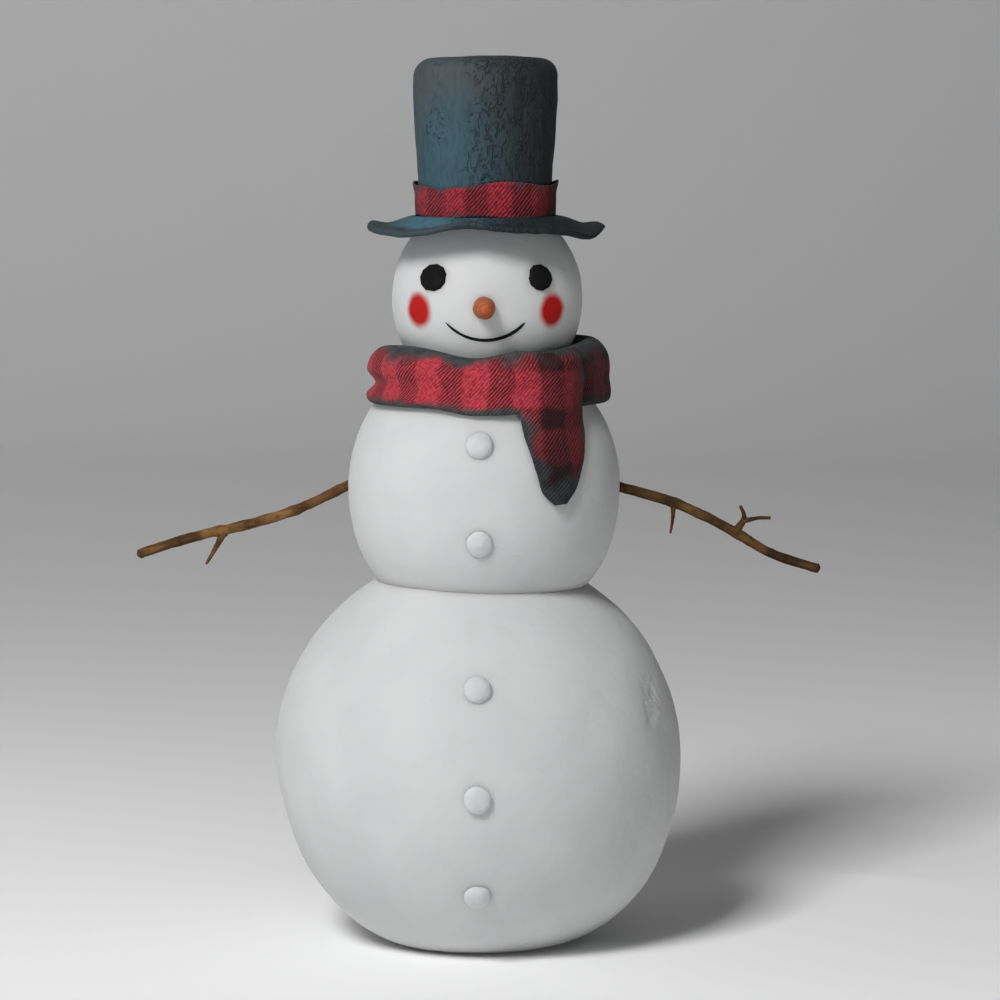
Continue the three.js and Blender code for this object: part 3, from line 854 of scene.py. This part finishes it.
def make_scarf():
    """One length of cloth: from its covered end once round the neck to the front, then down as the tail."""
    wrap = Wrap()
    sweep = 2 * math.pi + SCARF_TURN_ANGLE - SCARF_START
    ring_length = sweep * (wrap.radius - 6 * MM)
    length = ring_length + SCARF_TURN_LENGTH
    rows, columns = ((800, 58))
    s = np.linspace(0, length, rows)
    v = np.linspace(0, 1, columns)
    t = np.clip((s - ring_length) / SCARF_TURN_LENGTH, 0, 1)
    facing = wrapped(SCARF_START + sweep * np.minimum(s / ring_length, 1))

    ring_r, ring_z = wrap.section(facing, v)
    covered = smooth(0.2, 0.02, s / ring_length)[:, None]
    ring_r = ring_r - 3 * MM * covered
    ring_z = ring_z - 11 * MM * covered * smooth(0.45, 0.65, v)[None]
    clear = MIDDLE.radius_at(ring_z) + wrap.x - MIDDLE.centre[0] + 2.5 * MM
    ring_r = np.where(ring_z < wrap.low + 45 * MM, np.maximum(ring_r, clear), ring_r)

    edge_left, edge_right = tail_edges(wrap)
    a, b = curve_through(edge_left, t)[:, None], curve_through(edge_right, t)[:, None]
    share, proud = curve_through(TAIL_SECTION, v).T
    hanging = a + (b - a) * share[None, :, None]
    tail_x, tail_z = hanging[..., 0], hanging[..., 1]
    over_top = smooth(wrap.high - 26 * MM, wrap.high + 4 * MM, tail_z) ** 1.5
    over_ring = wrap.radius + TAIL_ON_RING - 30 * MM * over_top
    on_ball = MIDDLE.radius_at(tail_z) + MIDDLE.centre[0] - wrap.x + TAIL_ON_BALL
    tail_r = smooth_max(over_ring, on_ball, 4 * MM) + proud[None]
    tail_angle = np.arcsin(np.clip((tail_x - wrap.x) / tail_r, -0.98, 0.98))

    turned = smooth(0.0, 0.4, t)[:, None]
    # Near the front, the cloth of the turn lies over the covered end.
    lift = 4.5 * MM * smooth(-25, 8, np.degrees(facing))[:, None] * (s > 0.5 * length)[:, None]
    r = (ring_r + lift) * (1 - turned) + tail_r * turned
    z = ring_z * (1 - turned) + tail_z * turned
    # The upper edge swings round the lower one as the cloth turns down.
    swing = np.minimum(t, 0.45)[:, None] * SCARF_TURN_LENGTH / wrap.radius
    swing = swing * smooth(0.15, 0.55, v)[None]
    angle = (facing[:, None] + swing) * (1 - turned) + tail_angle * turned
    points = np.stack([wrap.x + r * np.sin(angle), -r * np.cos(angle), z], -1).reshape(-1, 3)
    out = np.stack([np.sin(angle), -np.cos(angle), 0 * angle], -1).reshape(-1, 3)
    folds = noise(points * [1, 1, 2.2], 0.075, 171, 2) * 2.6 * MM
    crumples = noise(points, 0.022, 172, 2) * 0.6 * MM
    points = points + out * (folds + crumples)[:, None]

    paint = plaid_paint("plaid", SCARF_RED, SCARF_WIDTH, length, CHECK, 5.0 * MM, SCARF_BORDERS, 0.4)
    obj = piece("scarf", points, grid_faces(rows, columns), paint, ["scarf_wrap", "scarf_tail"])
    across, along = np.broadcast_to(v * SCARF_WIDTH, z.shape), np.broadcast_to(s[:, None], z.shape)
    cloth_coordinates(obj, "edges", across, along)
    # The check follows the cloth's place at the end of the ring, and so carries on into the hanging end.
    level = 0.2 * SCARF_WIDTH + 0.85 * (z - wrap.low)
    onward = ring_length * (2 * math.pi + angle - SCARF_START) / sweep
    drawn = smooth(ring_length - 160 * MM, ring_length - 20 * MM, s)[:, None]
    across, along = across + (level - across) * drawn, along + (onward - along) * drawn
    cloth_coordinates(obj, "weave", across, along)
    thicken(obj, CLOTH_THICKNESS)


def cloth_coordinates(obj, name, across, along):
    """Paint coordinates of the points of a cloth's grid, in metres."""
    uv = obj.data.uv_layers.new(name=name)
    index = np.zeros(len(obj.data.loops), np.int32)
    obj.data.loops.foreach_get("vertex_index", index)
    place = np.stack([across.ravel()[index], along.ravel()[index]], 1)
    uv.data.foreach_set("uv", place.astype(np.float32).ravel())


def thicken(obj, thickness):
    solid = obj.modifiers.new("thickness", "SOLIDIFY")
    solid.thickness = thickness
    solid.offset = 0
    solid.use_even_offset = False


# Hat ----------

CROWN_BLUE, CROWN_GREY = (0.036, 0.08, 0.102), (0.056, 0.068, 0.075)
BRIM_BLUE, BRIM_GREY = (0.055, 0.135, 0.175), (0.038, 0.055, 0.064)
# The radii of the blue places on the crown and the brim.
CROWN_BLUE_SIZE, BRIM_BLUE_SIZE = (0.095, 0.09, 0.095), (0.1, 0.09, 0.08)
BRIM_WORN_RADIUS = 0.145
CROWN_WALL, CROWN_CORNER, CROWN_DOME, CROWN_NARROWEST = 4 * MM, 24 * MM, 3 * MM, 80 * MM
BRIM_THICKNESS = 7.5 * MM
BAND_LAP = math.radians(14)
BAND_THICKNESS = 1.6 * MM
BAND_BORDERS = (1 * MM, 1.5 * MM, 0.0)


class Crown:
    """The hat crown's outline, read from its CAD node."""

    def __init__(self):
        points = corners_of("hat_crown")
        self.low, self.high = points[:, 2].min(), points[:, 2].max()
        self.x = (points[:, 0].min() + points[:, 0].max()) / 2
        around = np.hypot(points[:, 0] - self.x, points[:, 1])
        heights = np.unique(np.round(points[:, 2], 4))
        outer = [(z, around[np.abs(points[:, 2] - z) < 0.5 * MM].max()) for z in heights]
        outer = [(z, r) for z, r in outer if r > CROWN_NARROWEST]
        self.z, self.r = np.array(outer).T

    def radius_at(self, z):
        return np.interp(z, self.z, self.r)


def make_hat():
    crown = Crown()
    place = (crown.x - 45 * MM, -80 * MM, crown.low + 78 * MM)
    felt = hat_paint("hat_crown_felt", CROWN_BLUE, CROWN_GREY, place, CROWN_BLUE_SIZE)
    place = (crown.x - 55 * MM, -90 * MM, crown.low)
    brim_felt = hat_paint("hat_brim_felt", BRIM_BLUE, BRIM_GREY, place, BRIM_BLUE_SIZE, BRIM_WORN_RADIUS)
    make_crown(crown, felt)
    make_brim(crown, brim_felt)
    make_band(crown)


def make_crown(crown, felt):
    """A hollow crown: its side from the foot up, a rounded shoulder, a domed roof, and down inside."""
    sides = 340
    shoulder, corner, dome = crown.radius_at(crown.high - 52 * MM), CROWN_CORNER, CROWN_DOME
    foot = np.array([(crown.radius_at(z), z) for z in np.linspace(crown.low, crown.high - 30 * MM, 84)])
    bend = np.linspace(0, math.pi / 2, 22)
    round_top = np.stack([
        shoulder - corner * (1 - np.cos(bend)),
        crown.high - dome - corner * (1 - np.sin(bend)),
    ], 1)
    roof_r = np.linspace(shoulder - corner, 0.4 * MM, 24)
    roof = np.stack([roof_r, crown.high - dome * (roof_r / (shoulder - corner)) ** 2], 1)
    outer = np.concatenate([foot, round_top[1:], roof[1:]])
    inner = outer[::-3].copy()
    inner[:, 0] = np.maximum(inner[:, 0] - CROWN_WALL, 0.3 * MM)
    inner[:, 1] = np.minimum(inner[:, 1], crown.high - dome - CROWN_WALL)
    section = np.concatenate([outer, inner])
    flat = lathe(section, round_angles(sides)).reshape(-1, 3)
    out = flat * [1, 1, 0]
    out /= np.maximum(np.linalg.norm(out, axis=1), 1e-9)[:, None]
    dents = noise(flat, 0.075, 201, 2) * 1.7 * MM
    upright = noise(flat * [1, 1, 0.25], 0.016, 202, 3)
    side = smooth(-0.05, 0.07, flat[:, 0]) * 0.75 + 0.25
    wrinkles = upright * 1.2 * MM * side
    amount = (dents + wrinkles) * smooth(0, 0.03, np.hypot(flat[:, 0], flat[:, 1]))
    flat = flat + out * amount[:, None]
    near_top = smooth(crown.high - 20 * MM, crown.high, flat[:, 2])
    flat[:, 2] += noise(flat, 0.06, 203, 2) * 1.2 * MM * near_top
    flat[:, 2] = np.minimum(flat[:, 2], crown.high + 1 * MM)
    flat[:, 0] += crown.x
    faces = grid_faces(len(section), sides, closed_columns=True, closed_rows=True)
    piece("hat_top", flat, faces, felt, ["hat_crown"])


# The brim's rim rises and falls: (angle, height, width), angles in degrees.
RIM_WAVES = [
    (-9, 9 * MM, 17),
    (-46, -6 * MM, 20),
    (60, -10 * MM, 15),
    (102, 4 * MM, 17),
    (-100, 3 * MM, 20),
    (-140, -5 * MM, 24),
    (180, 5 * MM, 22),
    (135, -5 * MM, 22),
]


def brim_wave(angle):
    """How far the brim's rim stands above its mean height."""
    total = 0 * angle
    for centre, height, width in RIM_WAVES:
        apart = wrapped(angle - math.radians(centre))
        total = total + height * bell(apart, 0, math.radians(width))
    return total


def make_brim(crown, felt):
    low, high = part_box("hat_brim")
    rim = (high.x - low.x) / 2
    root = crown.radius_at(crown.low) + 0.3 * MM
    rim_z = (low.z + high.z) / 2 - 2 * MM
    root_z = high.z - 1 * MM
    sides, across = 360, 34
    angles = round_angles(sides)
    t = np.linspace(0, 1, across)
    middle_r = root + (rim - BRIM_THICKNESS / 2 - root) * t
    middle_z = root_z + (rim_z - root_z) * smooth(0, 0.75, t)
    fat = BRIM_THICKNESS * (0.85 + 0.25 * smooth(0.6, 1.0, t))
    roll = np.linspace(math.pi / 2, -math.pi / 2, 12)[1:-1]
    top = np.stack([middle_r, middle_z + fat / 2], 1)
    rolled = fat[-1] / 2 * np.stack([np.cos(roll), np.sin(roll)], 1)
    edge = [middle_r[-1], middle_z[-1]] + rolled
    under = np.stack([middle_r, middle_z - fat / 2], 1)[::-1]
    section = np.concatenate([top, edge, under])
    points = lathe(section, angles)
    out = (section[:, 0] - root) / (rim - root)
    # A fat roll at the left tip, and a thin one at the right.
    facing = wrapped(angles)
    fuller = 0.3 * bell(facing, -math.pi / 2, 0.5) - 0.5 * bell(facing, math.pi / 2, 0.4)
    swell = 1 + fuller * smooth(0.4, 1, out)[:, None]
    halfway = (root_z + (rim_z - root_z) * smooth(0, 0.75, np.clip(out, 0, 1)))[:, None]
    points[..., 2] = halfway + (points[..., 2] - halfway) * swell
    points[..., 2] += smooth(0.1, 1.0, out)[:, None] * brim_wave(facing)[None]
    flat = points.reshape(-1, 3)
    share = np.repeat(out, sides)
    flat[:, 2] += noise(flat * [1, 1, 0], 0.03, 211, 2) * 1.5 * MM * share
    ragged = 0.012 * noise(flat * [1, 1, 0], 0.05, 212, 2) * smooth(0.4, 1, share)
    flat[:, :2] *= (1 + ragged)[:, None]
    flat[:, 0] += crown.x
    faces = grid_faces(len(section), sides, closed_columns=True, closed_rows=True)
    piece("hat_rim", flat, faces, felt, ["hat_brim"])


def make_band(crown):
    """The ribbon round the hat: its upper edge rises and falls, and its ends lap at the back."""
    low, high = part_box("hat_band")
    rows, columns = 420, 26
    angle = np.linspace(-math.pi, math.pi + BAND_LAP, rows)
    v = np.linspace(0, 1, columns)
    width = high.z - low.z
    length = (2 * math.pi + BAND_LAP) * ((high.x - low.x) / 2)
    rise = 4.5 * MM * bell(angle, 0.35, 0.6) - 5 * MM * bell(angle, -0.75, 0.32)
    tips = 5 * MM * (bell(angle, -1.75, 0.3) + bell(angle, 1.75, 0.3))
    z_top = high.z + rise + tips + 1.5 * MM * np.sin(5 * angle)
    z_low = low.z - 1 * MM + 2 * MM * np.cos(5 * angle + 0.4)
    z = z_low[:, None] + (z_top - z_low)[:, None] * v[None]
    lapped = 2.5 * MM * smooth(math.pi - BAND_LAP, math.pi, angle)[:, None]
    flare = smooth(0.6, 1, v)[None] * (1.0 * MM + 0.7 * tips)[:, None]
    r = crown.radius_at(z) + 3.2 * MM + lapped + flare + 1 * MM * np.sin(math.pi * v)[None]
    sine, cosine = np.sin(angle)[:, None], np.cos(angle)[:, None]
    points = np.stack([crown.x + r * sine, -r * cosine, z], -1).reshape(-1, 3)
    out = np.stack([sine + 0 * z, -cosine + 0 * z, 0 * z], -1).reshape(-1, 3)
    points += out * (noise(points, 0.03, 221, 2) * 0.7 * MM)[:, None]
    # Twice its length, so that its end is neither bordered nor darkened by painted shade.
    paint = plaid_paint("band_plaid", BAND_RED, width, 2 * length, CHECK, 6.0 * MM, BAND_BORDERS, 0.0)
    obj = piece("hat_ribbon", points, grid_faces(rows, columns), paint, ["hat_band"])
    across = np.broadcast_to(v * width, z.shape)
    along = np.broadcast_to(np.linspace(0, length, rows)[:, None], z.shape)
    for name in ("weave", "edges"):
        cloth_coordinates(obj, name, across, along)
    thicken(obj, BAND_THICKNESS)


# Studio ----------

CAMERA_LENS, CAMERA_SENSOR = 150, 36
CAMERA_PLACE = (0.0295, -5.654, 1.1787)
CAMERA_DOWN = math.radians(5.797)


def make_camera():
    data = bpy.data.cameras.new("camera")
    data.lens = CAMERA_LENS
    data.sensor_width = CAMERA_SENSOR
    camera = bpy.data.objects.new("camera", data)
    camera.location = CAMERA_PLACE
    camera.rotation_euler = (math.pi / 2 - CAMERA_DOWN, 0, 0)
    bpy.context.scene.collection.objects.link(camera)
    bpy.context.scene.camera = camera


def area_light(name, place, target, wide, tall, watts):
    data = bpy.data.lights.new(name, "AREA")
    data.shape = "RECTANGLE"
    data.size, data.size_y = wide, tall
    data.energy = watts
    light = bpy.data.objects.new(name, data)
    light.location = place
    way = np.asarray(target, float) - place
    tilt = math.atan2(np.hypot(way[0], way[1]), -way[2])
    light.rotation_euler = (tilt, 0, math.atan2(way[1], way[0]) - math.pi / 2)
    bpy.context.scene.collection.objects.link(light)


# Each light: its name, place and aim, how wide and tall it is, and its power in watts.
LIGHTS = [
    ("key", (-2.90029, -5.81707, 6.2), (0, 0, 0.5), 2.3, 2.4, 690),
    ("front", (1.6, -6.2, 0.5), (0, 0, 0.5), 2.0, 2.0, 75),
    ("left", (-3.0, 0, 1.2), (0, 0, 0.6), 1.5, 1.5, 10),
    ("overhead", (0, 0, 4.0), (0, 0, 0), 3.0, 3.0, 10),
    ("wall", (-3.0, 5.0, 6.0), (-3.0, 11, 3), 3.0, 3.0, 50),
]
WORLD_STRENGTH = 0.004
BACKDROP_WHITE = (0.97, 0.97, 0.97, 1)
BACKDROP_HALF = 40.0
FLOOR_FRONT, BEND_START, BEND_RADIUS, WALL_TOP = -40.0, 7.0, 4.0, 12.0


def make_backdrop():
    """A white floor that bends up into a wall behind the snowman."""
    profile = [(FLOOR_FRONT, 0), (BEND_START, 0)]
    for turn in np.linspace(0, math.pi / 2, 40)[1:]:
        y = BEND_START + BEND_RADIUS * math.sin(turn)
        profile.append((y, BEND_RADIUS * (1 - math.cos(turn))))
    profile.append((BEND_START + BEND_RADIUS, WALL_TOP))
    points = [(x, y, z) for y, z in profile for x in (-BACKDROP_HALF, BACKDROP_HALF)]
    faces = [(2 * i, 2 * i + 1, 2 * i + 3, 2 * i + 2) for i in range(len(profile) - 1)]
    white = Paint("backdrop", 0.9, Base_Color=BACKDROP_WHITE)
    backdrop = mesh_object("backdrop", points, faces, white.material)


def make_studio():
    make_backdrop()
    for light in LIGHTS:
        area_light(*light)
    world = bpy.data.worlds.new("studio")
    world.use_nodes = True
    world.node_tree.nodes["Background"].inputs[0].default_value = (1, 1, 1, 1)
    world.node_tree.nodes["Background"].inputs[1].default_value = WORLD_STRENGTH
    bpy.context.scene.world = world


bpy.context.scene.view_settings.view_transform = "Standard"
make_camera()
make_snowballs()
make_face()
make_arms()
make_scarf()
make_hat()
make_studio()
